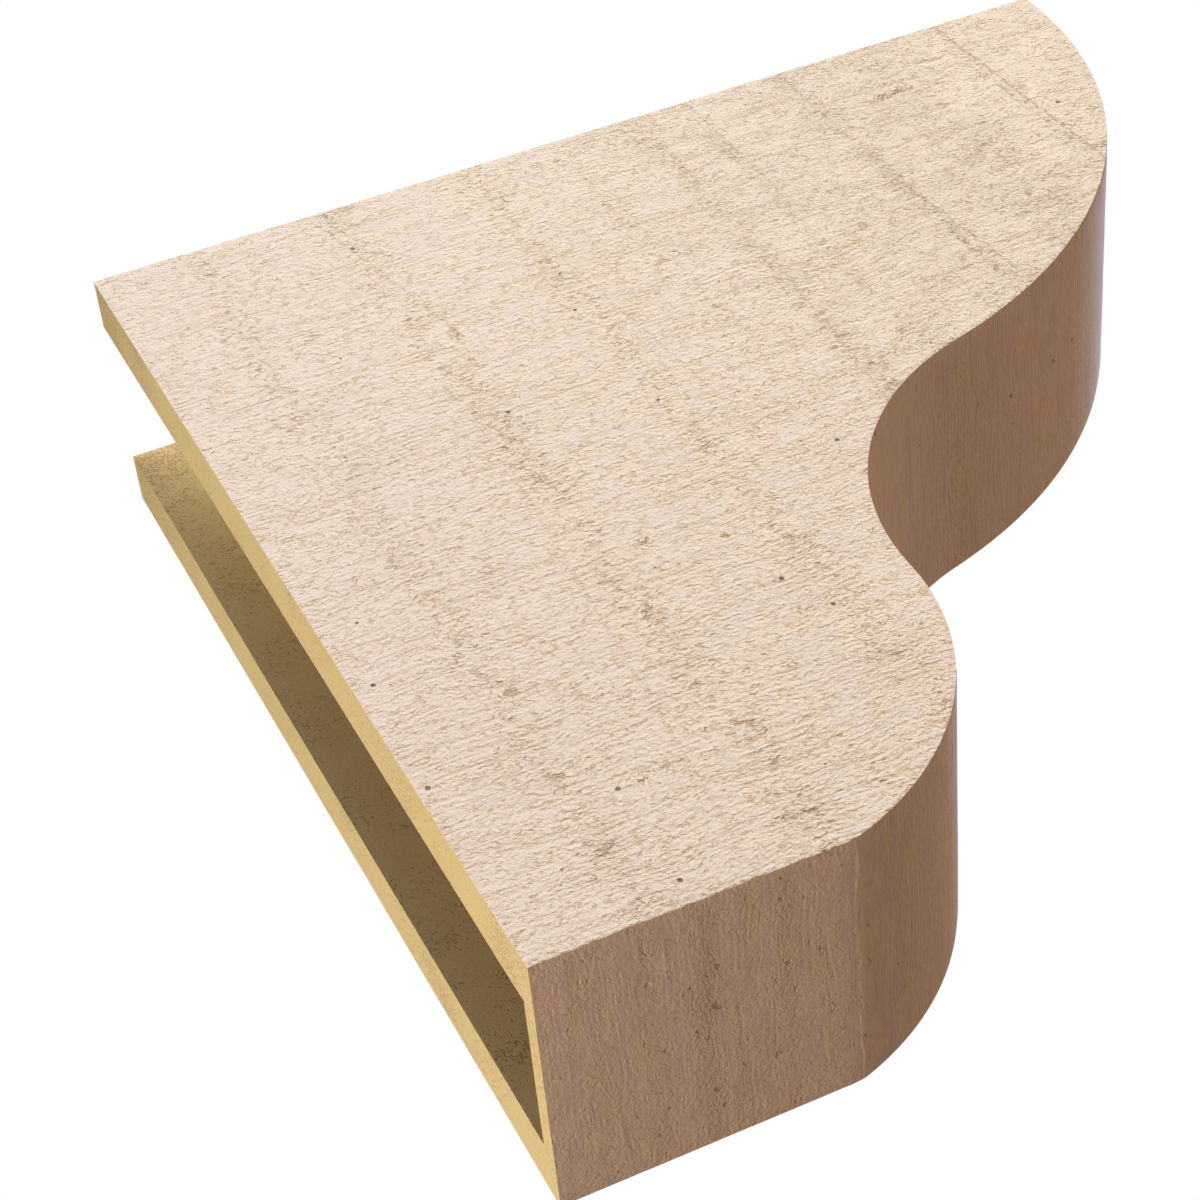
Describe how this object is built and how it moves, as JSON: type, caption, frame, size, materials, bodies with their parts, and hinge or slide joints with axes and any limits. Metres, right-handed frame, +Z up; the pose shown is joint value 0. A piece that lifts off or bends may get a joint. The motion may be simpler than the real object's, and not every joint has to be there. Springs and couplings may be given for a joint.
{
  "type": "corbel",
  "caption": "Hollow corbel with an S-curved front, thick flat sides and a rough-sawn timber skin, open at its back and its top.",
  "frame": {"origin": "on the wall plane, at the middle of the width, halfway through the thickness of the underside's wall (3.85 mm above the underside)", "axes": "+Y into the wall, so the corbel stands out towards -Y; +Z up; +X across the width, and the part is the same on both sides of X = 0"},
  "size_m": [0.1016, 0.4064, 0.4064],
  "materials": {
    "primed_skin": "matte tan primer over moulded rough-sawn timber grain; raw yellow foam on the cut edges and inside"
  },
  "bodies": {
    "root": {"corbel": "primed_skin"}
  },
  "joints": []
}
